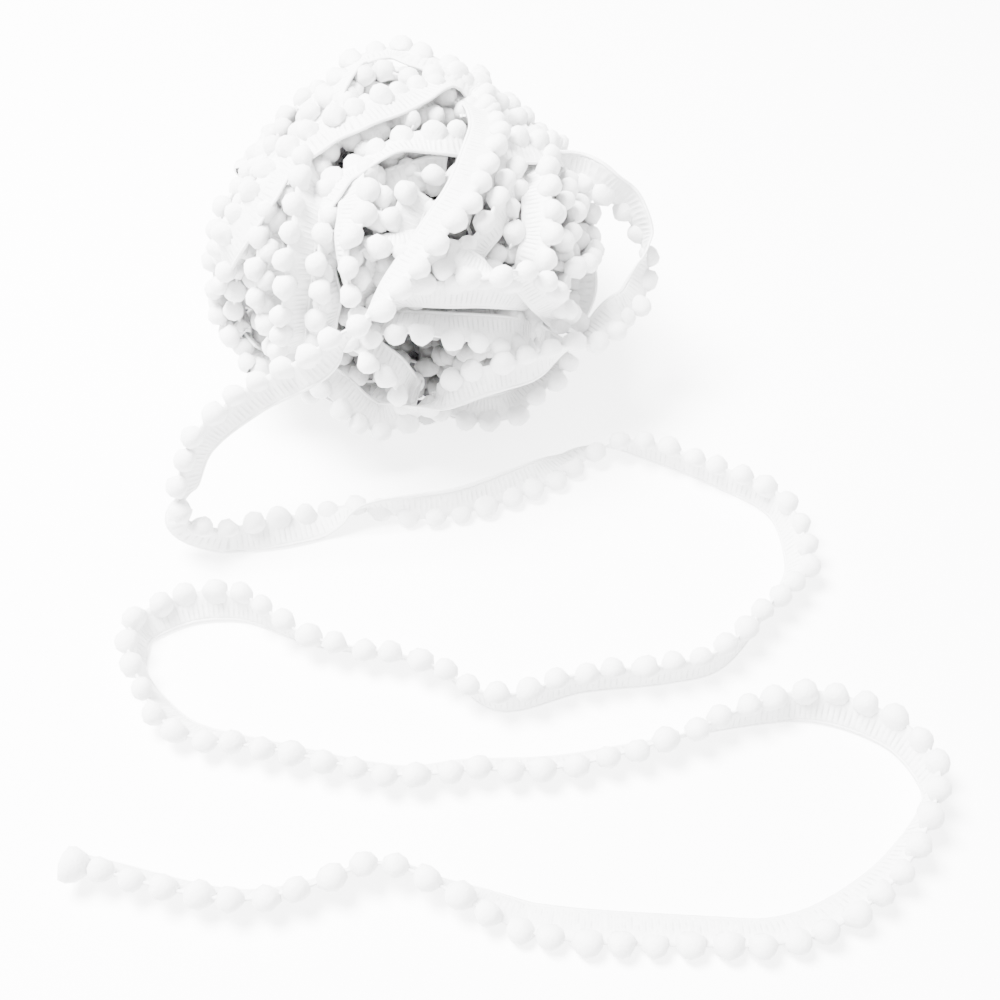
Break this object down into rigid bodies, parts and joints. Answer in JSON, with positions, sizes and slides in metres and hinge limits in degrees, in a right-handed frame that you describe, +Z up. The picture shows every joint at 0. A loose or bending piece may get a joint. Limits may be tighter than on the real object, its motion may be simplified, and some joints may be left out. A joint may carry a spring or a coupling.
{
  "type": "pompom fringe trim",
  "caption": "Ribbed tape edged with a row of small round pompoms, wound into a loose pile with a long loose end laid out in bends.",
  "frame": {"origin": "middle of the footprint of the pile and its loose end, on the surface it lies on", "axes": "+Z up; +Y from the loose end's cut end row towards the pile; +X to the right seen from the loose end"},
  "size_m": [0.251, 0.3282, 0.1151],
  "materials": {
    "pompom_yarn": "matt, fuzzy cut yarn",
    "tape_cotton": "matt, fine crosswise ribs"
  },
  "bodies": {
    "root": {"wound_bundle": "pompom_yarn", "tail_tape": "tape_cotton", "tail_pompoms": "pompom_yarn"}
  },
  "joints": []
}
